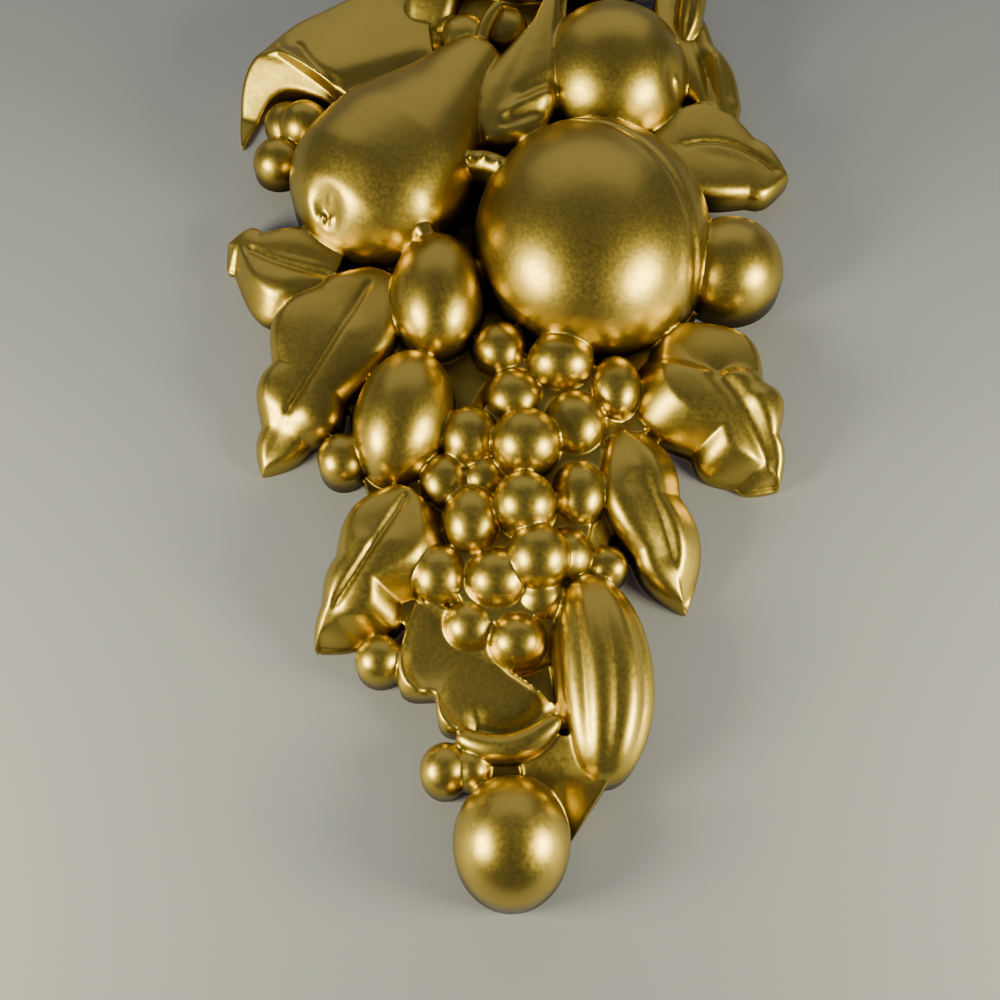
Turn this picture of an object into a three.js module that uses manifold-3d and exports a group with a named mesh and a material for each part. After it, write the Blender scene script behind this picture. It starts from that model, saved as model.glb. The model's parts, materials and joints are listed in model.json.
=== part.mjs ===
// A moulded swag of fruit and vine leaves that hangs on a wall: one hollow-backed piece
// of gold-painted plastic.
//
// All sizes are millimetres. X runs to the right, Z up and the wall is the plane y = 0.
// A place is [x, z] on that wall, and a height is how far a point stands out from it.
// The origin is on the back of the hanging pad.
import * as THREE from 'three';
import { mergeVertices } from 'three/addons/utils/BufferGeometryUtils.js';
import Module from 'manifold-3d';

const wasm = await Module();
wasm.setup();

const SKIN = 3; // wall of the moulding over its cored back
const SINK = 2; // how far every raw body runs behind the back plane before it is cut flat
const REACH = 400; // larger than the plaque in any direction
const GROUND = 4; // height of the web that joins leaves and fruit at the rim
const FRUIT_BED = 10; // height of the beds between neighbouring fruit
const RIB = { thickness: 2, pitch: 33 }; // ribs across the cored back
const PAD = { width: 30, height: 34 }; // left solid round the hanging point
const NAIL = { width: 3.6, rise: 8, depth: 6, below: 3 }; // blind slot for a nail, under the origin

const paint = new THREE.MeshStandardMaterial({ color: '#a8893a', roughness: 0.38, metalness: 0.9 });

// ---------------------------------------------------------------- spines and sections

// A line from one place to another, bowed to its right by `bow` at the middle.
function spine({ from, to, bow = 0 }) {
  const run = new THREE.Vector2(to[0] - from[0], to[1] - from[1]);
  const right = new THREE.Vector2(run.y, -run.x).normalize();
  return (t) => {
    const at = new THREE.Vector2(...from).addScaledVector(run, t);
    at.addScaledVector(right, bow * 4 * t * (1 - t));
    const heading = run.clone().addScaledVector(right, bow * 4 * (1 - 2 * t)).normalize();
    return { at, side: new THREE.Vector2(heading.y, -heading.x) };
  };
}

const mix = THREE.MathUtils.lerp;
const oval = (t) => Math.sqrt(Math.max(0, 1 - (2 * t - 1) ** 2));

// Rows of points over a body of revolution that lies half sunk in the plaque. Its
// widest line runs at `shoulder`, and `depth` is how far it domes for each millimetre
// of radius. `ribs` flutes it lengthwise, with sharp grooves between round ribs.
function turnedRows({ shoulder, radius, depth, ribs = 0, rib = 0, cuts, ...line }) {
  const place = spine(line);
  const rows = [];
  for (let i = 0; i <= cuts[0]; i += 1) {
    const t = (1 - Math.cos((Math.PI * i) / cuts[0])) / 2;
    const { at, side } = place(t);
    const reach = i === 0 || i === cuts[0] ? 0 : radius(t);
    const row = [];
    for (let j = 0; j <= cuts[1]; j += 1) {
      const angle = (Math.PI * j) / cuts[1];
      const flute = 1 - rib * (1 - Math.abs(Math.sin((ribs * angle) / 2))) * oval(t);
      const point = at.clone().addScaledVector(side, -Math.cos(angle) * reach * flute);
      const height = mix(...shoulder, t) + depth * reach * Math.sin(angle) * flute;
      row.push([point.x, height, point.y]);
    }
    rows.push(row);
  }
  return rows;
}

// Half-width of a leaf at t: scallops [end t, width there, bulge] follow one another.
function scalloped(side, t) {
  let [start, width] = [0, side.root];
  for (const [end, next, bulge] of side.scallops) {
    if (t <= end) {
      const along = (t - start) / (end - start);
      return mix(width, next, along) + bulge * Math.sin(Math.PI * along);
    }
    [start, width] = [end, next];
  }
  return 0;
}

// The places along a leaf where its rows go: every notch, with even steps between.
function leafStops(leaf) {
  const notches = [...leaf.left.scallops, ...leaf.right.scallops].map(([end]) => end);
  const ends = [...new Set([0, 0.05, ...notches, 1])].sort((a, b) => a - b);
  const stops = [0];
  for (let i = 1; i < ends.length; i += 1) {
    const steps = Math.max(1, Math.round((ends[i] - ends[i - 1]) / leaf.step));
    for (let k = 1; k <= steps; k += 1) {
      stops.push(mix(ends[i - 1], ends[i], k / steps));
    }
  }
  return stops;
}

// Height of a leaf over the wall. `s` runs from -1 at its left rim to 1 at its right:
// the blade is crowned, each half is puffed beside the midrib, `roll` tips it over and
// `arch` bows it outwards from end to end.
function leafHeight({ heights, crown = 2, puff = 1.5, roll = 0, arch = 0 }, t, s) {
  const half = Math.abs(s);
  const swell = Math.sqrt(Math.sin(Math.PI * t));
  const blade = crown * (1 - half ** 2) + puff * 4 * half * (1 - half) + roll * s;
  return mix(...heights, t) + arch * 4 * t * (1 - t) + (t > 0 && t < 1 ? swell * blade : 0);
}

const ACROSS_LEAF = [-1, -0.5, 0, 0.5, 1];

function leafRows(leaf) {
  const place = spine(leaf);
  return leafStops(leaf).map((t) => {
    const { at, side } = place(t);
    return ACROSS_LEAF.map((s) => {
      const width = t > 0 && t < 1 ? scalloped(s < 0 ? leaf.left : leaf.right, t) : 0;
      const point = at.clone().addScaledVector(side, s * width);
      return [point.x, leafHeight(leaf, t, s), point.y];
    });
  });
}

// ---------------------------------------------------------------- solids

function toManifold(geometry) {
  const bare = new THREE.BufferGeometry();
  bare.setAttribute('position', geometry.getAttribute('position'));
  bare.setIndex(geometry.getIndex());
  const merged = mergeVertices(bare);
  const corners = merged.getIndex().array;
  const triVerts = [];
  for (let i = 0; i < corners.length; i += 3) {
    const [a, b, c] = [corners[i], corners[i + 1], corners[i + 2]];
    if (a !== b && b !== c && c !== a) {
      triVerts.push(a, b, c);
    }
  }
  return new wasm.Manifold(new wasm.Mesh({
    numProp: 3,
    vertProperties: new Float32Array(merged.getAttribute('position').array),
    triVerts: new Uint32Array(triVerts),
  }));
}

// Closes rows of surface points with straight walls and a floor behind the back plane.
// The first and the last row are each a single point.
function reliefSolid(rows) {
  const columns = rows[0].length;
  const skinPoints = rows.flat().map(([x, height, z]) => [x, -height, z]);
  const floorPoints = rows.flat().map(([x, , z]) => [x, SINK, z]);
  const top = (i, j) => i * columns + j;
  const low = (i, j) => skinPoints.length + i * columns + j;
  const faces = [];
  const quad = (a, b, c, d) => faces.push(a, b, c, a, c, d);
  const last = columns - 1;
  for (let i = 0; i < rows.length - 1; i += 1) {
    for (let j = 0; j < last; j += 1) {
      quad(top(i, j), top(i, j + 1), top(i + 1, j + 1), top(i + 1, j));
    }
    quad(low(i, 0), top(i, 0), top(i + 1, 0), low(i + 1, 0));
    quad(top(i, last), low(i, last), low(i + 1, last), top(i + 1, last));
    quad(low(i, last), low(i, 0), low(i + 1, 0), low(i + 1, last));
  }
  const geometry = new THREE.BufferGeometry();
  const points = [...skinPoints, ...floorPoints].flat();
  geometry.setAttribute('position', new THREE.Float32BufferAttribute(points, 3));
  geometry.setIndex(faces);
  return toManifold(geometry);
}

// A box between heights `low` and `high`, centred on a place.
function block([x, z], width, tall, low, high) {
  const geometry = new THREE.BoxGeometry(width, high - low, tall);
  geometry.translate(x, -(low + high) / 2, z);
  return toManifold(geometry);
}

// A flat-topped web with the corners as its outline.
function web(corners, height) {
  const outline = new THREE.Shape(corners.map(([x, z]) => new THREE.Vector2(x, z)));
  const geometry = new THREE.ExtrudeGeometry(outline, { depth: height + SINK, bevelEnabled: false });
  geometry.rotateX(Math.PI / 2);
  geometry.translate(0, SINK, 0);
  return toManifold(geometry);
}

// ---------------------------------------------------------------- the pieces of the relief

// An oval fruit or berry: half its width and height, and the heights of its widest
// line and of its top.
function ball(at, [wide, tall], [shoulder, top], { lean = 0, cuts = [6, 5] } = {}) {
  const turn = -lean * THREE.MathUtils.DEG2RAD;
  const heading = new THREE.Vector2(0, tall).rotateAround(new THREE.Vector2(), turn);
  return {
    from: [at[0] - heading.x, at[1] - heading.y],
    to: [at[0] + heading.x, at[1] + heading.y],
    shoulder: [shoulder, shoulder],
    depth: (top - shoulder) / wide,
    radius: (t) => wide * oval(t),
    widest: wide,
    cuts,
  };
}

const PEAR_PROFILE = new THREE.SplineCurve([
  [0, 0], [0.04, 12.5], [0.14, 23.5], [0.28, 28], [0.44, 26], [0.6, 19.8],
  [0.75, 13.2], [0.88, 9], [0.96, 6], [1, 0],
].map(([t, radius]) => new THREE.Vector2(t, radius)));

function pearRadius(t) {
  let [low, high] = [0, 1];
  for (let step = 0; step < 20; step += 1) {
    const middle = (low + high) / 2;
    if (PEAR_PROFILE.getPoint(middle).x < t) {
      low = middle;
    } else {
      high = middle;
    }
  }
  return PEAR_PROFILE.getPoint(low).y;
}

const FRUIT = [
  ball([25.4, -100.5], [36.8, 40.5], [11, 40], { cuts: [13, 8] }), // peach, far cheek
  ball([23.5, -102.8], [34.8, 38.8], [12, 44], { cuts: [14, 12] }), // peach, near cheek
  ball([34.5, -39.5], [23, 24.4], [11, 35], { cuts: [11, 9] }), // apple
  ball([-22.7, -121.8], [14.3, 20.4], [12, 28], { cuts: [9, 8] }), // upper plum
  ball([-32, -161.6], [14.5, 21.2], [10, 26], { lean: 13, cuts: [9, 8] }), // lower plum
  ball([68.1, -108.8], [16.7, 16.9], [8, 24], { cuts: [10, 8] }), // large berry
  ball([-0.4, -285.3], [15.7, 17.7], [8, 25], { cuts: [10, 8] }), // end fruit
  ball([4, 12], [24, 22], [12, 36], { cuts: [10, 8] }), // top fruit
  {
    from: [-57.5, -104],
    to: [-8.5, -31.5],
    shoulder: [11, 17],
    depth: 0.85,
    radius: pearRadius,
    widest: 28,
    cuts: [11, 9],
  }, // pear
  {
    from: [19.5, -211],
    to: [23.5, -270],
    bow: -4,
    shoulder: [8, 8],
    depth: 1,
    radius: (t) => 14 * oval(t) ** 0.9,
    ribs: 11,
    rib: 0.12,
    widest: 14,
    cuts: [8, 11],
  }, // melon
];

// The mound that the grapes sit in.
const BUNCH = {
  from: [16, -136],
  to: [-6, -238],
  shoulder: [6, 5],
  depth: 0.24,
  radius: (t) => 26 * oval(t) ** 0.7,
  widest: 26,
  cuts: [6, 6],
};

const BERRIES = [
  ball([-50, -173.8], [7.4, 8], [7, 14]),
  ball([-37.2, -234.8], [7, 7.2], [6, 13]),
  ball([-75.1, -68.2], [8.3, 8], [5, 13]),
  ball([-67, -55.8], [8.5, 8.4], [7, 16]),
  ball([-72.8, -53.5], [7.8, 7.8], [5, 12]),
  ball([27.3, -207], [6.2, 6.2], [6, 12]),
  ball([-18.5, -265.7], [6.9, 7.6], [6, 13]),
  ball([-11.1, -265.8], [5, 5.8], [7, 12]),
  ball([-15.2, -25.4], [7.5, 8], [14, 21]),
  ball([-2, -22], [7.5, 8], [14, 21]),
  ball([-27.3, -25.5], [6.6, 6.8], [8, 15]),
];

// Grapes: [x, z, half width, half height, top].
const GRAPES = [
  [-3.5, -138.8, 8.2, 8.6, 18],
  [14.7, -144.3, 10.2, 9.3, 22],
  [31, -151.8, 7.6, 9.8, 18],
  [0.5, -155, 9, 9, 18],
  [-12.5, -168.6, 8.6, 9.5, 20],
  [18.6, -164.3, 8.9, 10.2, 20],
  [4, -172.4, 10.1, 10.3, 26],
  [-19.7, -181.4, 7.2, 8.2, 16],
  [-8, -180.6, 6.5, 7, 15],
  [3.5, -191.6, 9, 9.1, 26],
  [19.5, -186.8, 7.6, 9.7, 20],
  [-11.6, -195, 8.2, 10.2, 20],
  [7.3, -207, 9, 9.6, 24],
  [15.3, -204.5, 8, 8.2, 16],
  [-21, -210.7, 8.2, 9, 17],
  [-4.4, -212.6, 9, 8.8, 20],
  [8, -217, 7.8, 7.4, 15],
  [-11.9, -225, 7.9, 7.9, 14],
  [1.4, -229.9, 8.4, 8.2, 16],
].map(([x, z, wide, tall, top]) => ball([x, z], [wide, tall], [top - wide, top]));

const side = (root, ...scallops) => ({ root, scallops });

const LEAVES = [
  { from: [-56.6, -111.1], to: [-90.2, -99.6], heights: [10, 9], puff: 2,
    left: side(8, [0.86, 7, 14], [1, 0, 3]), right: side(8, [0.71, 8, 4], [1, 0, 4]) },
  { from: [-42.7, -117.7], to: [-74.5, -177.2], heights: [11.5, 8], puff: 1.5, arch: 2,
    left: side(8, [0.56, 12, 6], [0.79, 9, 3.5], [1, 0, 2]),
    right: side(8, [0.54, 14, 7.5], [0.8, 7.8, 3], [1, 0, 2]) },
  { from: [-28, -185.7], to: [-56.1, -231.5], heights: [11, 6], puff: 1.5, arch: 3,
    left: side(10, [0.55, 14.5, 8], [0.82, 11, 4.5], [1, 0, 2]),
    right: side(6, [0.53, 8.8, 5], [0.78, 4.8, 1.2], [1, 0, 1]) },
  { from: [11.8, -252], to: [-28.1, -219], heights: [12, 11], puff: 0, crown: -2.5,
    left: side(7, [0.3, 18.5, 6], [0.585, 17, 5.5], [1, 0, 12]), right: side(2, [1, 0, 6]) },
  { from: [47, -65.5], to: [89.9, -74.3], heights: [12, 9], puff: 1.5,
    left: side(10, [0.71, 12, 9.5], [1, 0, 2.5]), right: side(10, [0.73, 11, 5], [1, 0, 4]) },
  { from: [50.7, -138.5], to: [79.2, -181.9], heights: [13, 7.5], puff: 2, arch: 3,
    left: side(10, [0.47, 14, 8], [0.76, 8, 4], [1, 0, 2]),
    right: side(12, [0.56, 15.5, 10], [0.85, 10.5, 3.5], [1, 0, 3]) },
  { from: [33.4, -166.2], to: [49.8, -220.5], heights: [9.5, 6], puff: 1.5, arch: 3,
    left: side(6, [0.42, 9.3, 3], [1, 0, 5.5]), right: side(6, [0.66, 10, 5.5], [1, 0, 3]) },
  { from: [-26, -25], to: [-83, -33], heights: [16, 15.5], puff: 0, crown: 1, roll: -3.5,
    left: side(17, [0.5, 22, 2], [0.88, 2.4, -0.5], [1, 0, 0.3]),
    right: side(18, [0.6, 18, 5], [1, 0, 2.5]) },
  { from: [-56.5, -51], to: [-87.3, -60.5], bow: 18, heights: [13, 11.5], puff: 0, crown: 1, roll: 5,
    left: side(0.3, [1, 0, 5.2]), right: side(0.3, [1, 0, 5.6]) },
  { from: [13.7, -14], to: [-8.5, -71.8], heights: [26, 22], roll: -1.5, puff: 0.5,
    left: side(3, [0.28, 9.2, 0.5], [0.66, 15.9, 0.6], [0.85, 15, 0.5], [0.92, 8, 1.5], [1, 0, 1]),
    right: side(1.5, [0.25, 2, 0], [0.6, 9.8, 0.5], [1, 0, 5.5]) },
  { from: [54, -4], to: [70, -58], heights: [10, 9],
    left: side(4, [0.45, 7, 1.2], [0.82, 8.5, 1.5], [1, 0, 1]), right: side(6, [1, 0, 9]) },
  { from: [-22, 9], to: [-26.5, -27], heights: [26, 15], arch: 4,
    left: side(5, [0.55, 6, 2], [1, 0, 2.5]), right: side(5, [0.55, 6, 2], [1, 0, 2.5]) },
  { from: [62, -2], to: [57, -28.5], heights: [19, 12], arch: 3,
    left: side(3, [0.6, 4.5, 1], [1, 0, 1.5]), right: side(3, [0.6, 4.5, 1], [1, 0, 1.5]) },
  { from: [-14, 8], to: [-56, 30], heights: [12, 9],
    left: side(10, [0.4, 12, 6], [0.75, 8, 4], [1, 0, 3]),
    right: side(6, [0.45, 10, 5], [0.8, 6, 3], [1, 0, 2]) },
  { from: [22, 6], to: [62, 24], heights: [12, 9],
    left: side(6, [0.45, 10, 5], [0.8, 6, 3], [1, 0, 2]),
    right: side(10, [0.4, 12, 6], [0.75, 8, 4], [1, 0, 3]) },
  { from: [3, 22], to: [8, 56], heights: [12, 8],
    left: side(8, [0.5, 9, 5], [0.8, 5, 2], [1, 0, 1]),
    right: side(8, [0.45, 10, 4], [0.78, 6, 2], [1, 0, 1]) },
].map((leaf) => ({ step: 0.22, ...leaf }));

const TWIGS = [
  { from: [-19, -80.5], to: [1, -87], bow: -3.5, shoulder: [21, 23], reach: 3.4 }, // peach stalk
  { from: [-31, -97], to: [-25, -106], shoulder: [20, 19], reach: 3.2 }, // plum stalk
  { from: [-10, -36], to: [-3, -18], bow: -2, shoulder: [17, 21], reach: 2.6 }, // twig over berries
].map(({ reach, ...twig }) => ({ ...twig, depth: 1, radius: (t) => reach * oval(t) ** 0.5, cuts: [6, 4] }));

// The flat web that shows beside the end fruit, the hidden one behind everything and
// the raised beds between the fruit.
const WEBS = [
  web([[-6, -262], [13, -258], [25, -269], [16.6, -283], [0, -286]], 6),
  web([
    [-64, -108], [-20, -20], [-30, 5], [0, 25], [30, 5], [55, -20], [60, -110], [55, -150],
    [40, -180], [25, -215], [15, -265], [0, -280], [-12, -265], [-20, -235], [-40, -200],
    [-50, -165], [-55, -130],
  ], GROUND),
  web([
    [-45, -112], [-24, -104], [-14, -112], [-6, -124], [50, -120], [48, -150], [32, -190],
    [18, -225], [-20, -225], [-30, -190], [-42, -160],
  ], 2 * GROUND),
  web([[-60, -108], [-24, -104], [-30, -135], [-44, -125]], FRUIT_BED),
  web([[-30, -136], [-4, -120], [0, -142], [-12, -165], [-22, -185], [-30, -180]], FRUIT_BED),
  web([[-30, -40], [-34, -10], [-12, 6], [20, 4], [18, -24], [4, -34], [-8, -40]], FRUIT_BED),
];

// ---------------------------------------------------------------- the cored back

// The same body of revolution with the moulding's wall taken off.
function hollowOf({ from, to, bow, shoulder, depth, radius, widest }) {
  const run = new THREE.Vector2(to[0] - from[0], to[1] - from[1]);
  const pull = run.clone().setLength(SKIN);
  const drop = SKIN * (1 - depth);
  return {
    bow,
    from: [from[0] + pull.x, from[1] + pull.y],
    to: [to[0] - pull.x, to[1] - pull.y],
    shoulder: shoulder.map((height) => height - drop),
    depth,
    radius: (t) => (radius(t) * (widest - SKIN)) / widest,
    cuts: [6, 6],
  };
}

function ribs() {
  const slabs = [];
  for (let offset = -REACH; offset <= REACH; offset += RIB.pitch) {
    slabs.push(block([offset, 0], RIB.thickness, 2 * REACH, -SINK, REACH));
    slabs.push(block([0, offset], 2 * REACH, RIB.thickness, -SINK, REACH));
  }
  return wasm.Manifold.union(slabs);
}

function pad() {
  return block([0, 0], PAD.width, PAD.height, -SINK, REACH);
}

function nailSlot() {
  const arch = new THREE.Shape();
  const half = NAIL.width / 2;
  arch.moveTo(-half, -NAIL.below - NAIL.rise);
  arch.lineTo(half, -NAIL.below - NAIL.rise);
  arch.absarc(0, -NAIL.below - half, half, 0, Math.PI);
  const depth = NAIL.depth + SINK;
  const geometry = new THREE.ExtrudeGeometry(arch, { depth, bevelEnabled: false, curveSegments: 8 });
  geometry.rotateX(Math.PI / 2);
  geometry.translate(0, SINK, 0);
  return toManifold(geometry);
}

// ---------------------------------------------------------------- assembly

function unite(rowSets) {
  return wasm.Manifold.union(rowSets.map(reliefSolid));
}

function front() {
  const turned = [...FRUIT, BUNCH, ...BERRIES, ...GRAPES, ...TWIGS].map(turnedRows);
  const bodies = unite([...turned, ...LEAVES.map(leafRows)]);
  const whole = WEBS.reduce((sum, next) => sum.add(next), bodies);
  return whole.subtract(block([0, 0], 2 * REACH, 2 * REACH, -2 * SINK, 0));
}

function back() {
  const hollows = unite([...FRUIT, BUNCH].map(hollowOf).map(turnedRows));
  return hollows.subtract(ribs()).subtract(pad()).add(nailSlot());
}

function toMesh(name, solid, material) {
  const { vertProperties, triVerts } = solid.getMesh();
  const geometry = new THREE.BufferGeometry();
  geometry.setAttribute('position', new THREE.BufferAttribute(vertProperties, 3));
  geometry.setIndex(new THREE.BufferAttribute(triVerts, 1));
  const mesh = new THREE.Mesh(geometry, material);
  mesh.name = name;
  return mesh;
}

const group = new THREE.Group();
group.add(toMesh('plaque', front().subtract(back()), paint));

export default group;
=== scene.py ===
"""A gold-painted fruit swag for the wall: relief moulding, cored back, paint and a plain studio."""

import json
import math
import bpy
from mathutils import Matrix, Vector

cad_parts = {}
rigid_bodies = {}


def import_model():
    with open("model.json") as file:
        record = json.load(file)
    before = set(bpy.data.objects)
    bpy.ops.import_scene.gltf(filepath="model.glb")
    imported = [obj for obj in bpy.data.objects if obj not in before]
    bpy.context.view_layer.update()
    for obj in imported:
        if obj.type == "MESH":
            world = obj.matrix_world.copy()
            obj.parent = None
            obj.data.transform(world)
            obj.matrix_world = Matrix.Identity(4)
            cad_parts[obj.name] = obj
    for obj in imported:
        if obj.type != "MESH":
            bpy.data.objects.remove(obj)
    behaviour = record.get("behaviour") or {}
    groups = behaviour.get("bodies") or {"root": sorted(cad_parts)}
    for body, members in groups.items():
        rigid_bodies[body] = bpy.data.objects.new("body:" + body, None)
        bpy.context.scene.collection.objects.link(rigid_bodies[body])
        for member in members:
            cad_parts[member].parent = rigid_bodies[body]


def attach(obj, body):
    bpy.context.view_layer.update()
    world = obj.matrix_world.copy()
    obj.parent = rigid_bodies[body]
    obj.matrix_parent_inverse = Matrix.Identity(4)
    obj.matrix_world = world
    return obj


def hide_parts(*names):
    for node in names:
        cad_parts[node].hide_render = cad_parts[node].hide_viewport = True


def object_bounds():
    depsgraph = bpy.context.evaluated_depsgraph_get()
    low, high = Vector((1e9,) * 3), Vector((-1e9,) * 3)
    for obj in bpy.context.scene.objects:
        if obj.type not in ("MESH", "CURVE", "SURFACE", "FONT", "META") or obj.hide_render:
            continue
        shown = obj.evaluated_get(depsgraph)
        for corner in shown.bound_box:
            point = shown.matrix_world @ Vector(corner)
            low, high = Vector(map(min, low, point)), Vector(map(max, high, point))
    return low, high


bl_info = {
    "name": "Fruit Swag Plaque",
    "version": (1, 0, 0),
    "blender": (4, 5, 0),
    "location": "3D View > Sidebar > Plaque",
    "description": "Moulds, cores and paints a hanging fruit swag over its packed model",
    "category": "Add Mesh",
}

import bpy
import numpy as np
from mathutils import Vector

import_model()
CAD_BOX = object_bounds()

# Places are [x, z] on the wall and heights stand out from it, all in millimetres.
MM = 0.001
EDGE = 2  # height of the thinnest leaf edges
BROAD_RIM = 5  # leaf rims wider than this slope down evenly, and narrower ones are round
SINK = 3  # how far raw shells run behind the wall plane before they are cut flat
REACH = 400  # larger than the plaque in any direction
PAD = (30, 34)  # width and height left solid round the hanging point
NAIL = dict(width=3.6, rise=8, depth=6, below=3)  # blind slot for a nail under the origin
NODE = "plaque"


# ------------------------------------------------------------------ sizes and colours
class SwagMouldSettings(bpy.types.PropertyGroup):
    """Sizes of the moulding."""

    voxel: bpy.props.FloatProperty(
        name="Mould Detail", description="Grid that the shells are fused on",
        default=0.42 * MM, min=0.2 * MM, max=3 * MM, unit="LENGTH", precision=5)
    soften: bpy.props.IntProperty(
        name="Soften", description="Passes that round the creases as moulding does",
        default=9, min=0, max=40)
    faces: bpy.props.IntProperty(
        name="Faces", description="Triangles kept on the finished moulding",
        default=160000, min=5000, max=190000)
    skin: bpy.props.FloatProperty(
        name="Skin", description="Wall left over the cored back",
        default=3 * MM, min=1 * MM, max=8 * MM, unit="LENGTH")
    rib_pitch: bpy.props.FloatProperty(
        name="Rib Pitch", description="Distance between the ribs across the back",
        default=33 * MM, min=10 * MM, max=80 * MM, unit="LENGTH")
    rib: bpy.props.FloatProperty(
        name="Rib", description="Thickness of a rib",
        default=2 * MM, min=0.5 * MM, max=6 * MM, unit="LENGTH")


class SwagPaintSettings(bpy.types.PropertyGroup):
    """Colours and finish of the paint."""

    gold: bpy.props.FloatVectorProperty(
        name="Gold", description="Colour of the metallic paint",
        default=(0.59, 0.43, 0.095), size=3, min=0, max=1, subtype="COLOR")
    # Colour of the thinner paint in the creases, which is also painted shade there.
    shadow: bpy.props.FloatVectorProperty(
        name="Thin Paint", description="Paint that thins out towards the creases",
        default=(0.22, 0.15, 0.03), size=3, min=0, max=1, subtype="COLOR")
    # Colour of the deepest creases: undercoat, and painted shade as well.
    recess: bpy.props.FloatVectorProperty(
        name="Recess", description="Undercoat that shows in the deep creases",
        default=(0.05, 0.025, 0.008), size=3, min=0, max=1, subtype="COLOR")
    bare: bpy.props.FloatVectorProperty(
        name="Bare Plastic", description="Unpainted plastic of the back",
        default=(0.20, 0.13, 0.07), size=3, min=0, max=1, subtype="COLOR")
    roughness: bpy.props.FloatProperty(
        name="Roughness", description="Satin of the paint",
        default=0.34, min=0, max=1, subtype="FACTOR")


class SwagStudioSettings(bpy.types.PropertyGroup):
    """Wall, lights and camera."""

    wall: bpy.props.FloatVectorProperty(
        name="Wall", description="Colour of the wall and floor",
        default=(0.35, 0.375, 0.54), size=3, min=0, max=1, subtype="COLOR")
    window_power: bpy.props.FloatProperty(
        name="Window Power", description="Power of each of the two low soft lights",
        default=2.6, min=0, max=200, unit="POWER")
    ceiling_power: bpy.props.FloatProperty(
        name="Ceiling Power", description="Power of the broad dim light overhead",
        default=5, min=0, max=200, unit="POWER")
    back_strength: bpy.props.FloatProperty(
        name="Back Strength", description="Strength of the even light from behind, for the back alone",
        default=2.5, min=0, max=20)
    ambient: bpy.props.FloatProperty(
        name="Ambient", description="Strength of the grey surroundings",
        default=0.12, min=0, max=5)
    tilt: bpy.props.FloatProperty(
        name="Camera Tilt", description="How far the camera looks up at the swag",
        default=math.radians(22), min=0, max=math.pi / 2, unit="ROTATION")
    distance: bpy.props.FloatProperty(
        name="Camera Distance", description="From the aim point to the lens",
        default=0.42, min=0.1, max=5, unit="LENGTH")
    lens: bpy.props.FloatProperty(
        name="Lens", description="Focal length on a 36 mm sensor",
        default=52.2, min=10, max=300)


# ------------------------------------------------------------------ lines and sections
def centre_line(start, end, bow, t):
    """Points along a run bowed to its right, and the direction to its right there."""
    run = np.subtract(end, start).astype(float)
    right = np.array([run[1], -run[0]]) / np.hypot(*run)
    at = np.outer(1 - t, start) + np.outer(t, end) + np.outer(4 * bow * t * (1 - t), right)
    heading = run + np.outer(4 * bow * (1 - 2 * t), right)
    heading /= np.linalg.norm(heading, axis=1)[:, None]
    return at, np.stack([heading[:, 1], -heading[:, 0]], axis=1)


def oval(t):
    return np.sqrt(np.clip(1 - (2 * t - 1) ** 2, 0, 1))


def mix(pair, t):
    return pair[0] + (pair[1] - pair[0]) * t


def soft_max(a, b, width):
    """The larger of two heights, with a fillet where they cross."""
    blend = np.clip(0.5 + 0.5 * (a - b) / width, 0, 1)
    return b + (a - b) * blend + width * blend * (1 - blend)


def hollow(x, z, at, radii, depth, lean=0):
    """Depth of a smooth oval dent round a place."""
    c, s = math.cos(math.radians(lean)), math.sin(math.radians(lean))
    across, along = (x - at[0]) * c - (z - at[1]) * s, (x - at[0]) * s + (z - at[1]) * c
    return depth * np.exp(-((across / radii[0]) ** 2) - (along / radii[1]) ** 2)


def turned(start, end, shoulder, depth, radius, bow=0, lobes=0, flute=0, relief=None, widest=0):
    """Surface of a fruit that lies half sunk: widest at its shoulder height, in round
    lobes with sharp flutes between them where it has any. The widest half-width is not
    used here; it is kept with the other sizes for the pocket behind the fruit."""

    def surface(u, s):
        t = (1 - np.cos(np.pi * u)) / 2
        at, side = centre_line(start, end, bow, t)
        angle = np.pi * (s + 1) / 2
        reach = radius(t) * (1 - flute * (1 - np.abs(np.sin(lobes * angle / 2))) * oval(t))
        x, z = (at - side * (np.cos(angle) * reach)[:, None]).T
        height = mix(shoulder, t) + depth * reach * np.sin(angle)
        return x, (height + relief(x, z) if relief else height), z

    return surface


def oval_fruit(at, radii, heights, lean=0):
    """Sizes of an oval fruit: heights are its widest line's and its top's."""
    heading = Vector((math.sin(math.radians(lean)), math.cos(math.radians(lean)))) * radii[1]
    return dict(start=(at[0] - heading.x, at[1] - heading.y), end=(at[0] + heading.x, at[1] + heading.y),
                shoulder=(heights[0],) * 2, depth=(heights[1] - heights[0]) / radii[0],
                radius=lambda t: radii[0] * oval(t), widest=radii[0])


def ball(at, radii, heights, lean=0, relief=None):
    """Surface of an oval fruit or berry."""
    return turned(**oval_fruit(at, radii, heights, lean), relief=relief)


# ------------------------------------------------------------------ leaves
def scalloped(side, t):
    """Half-width along one side, and how far along its scallop each point is. A side is
    its half-width at the start, then each scallop's end, half-width there and bulge."""
    width, phase = np.zeros_like(t), np.zeros_like(t)
    start, at_start = 0.0, side[0]
    for end, at_end, bulge in side[1:]:
        here = (t >= start) & (t <= end)
        along = (t[here] - start) / (end - start)
        width[here] = mix((at_start, at_end), along) + bulge * np.sin(np.pi * along)
        phase[here] = along
        start, at_start = end, at_end
    return np.clip(width, 0, None), phase


def rounded(inset, radius):
    """How far a rim of this radius has dropped at this distance in from the edge."""
    left = np.clip(radius - inset, 0, radius)
    return radius - np.sqrt(radius ** 2 - left ** 2)


def bevelled(inset, reach):
    """How far a broad sloping rim of this reach has dropped there, with a small round edge."""
    return 0.85 * soft_max(reach - inset, np.zeros_like(inset), 1.4) + rounded(inset, 1.5)


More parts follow.
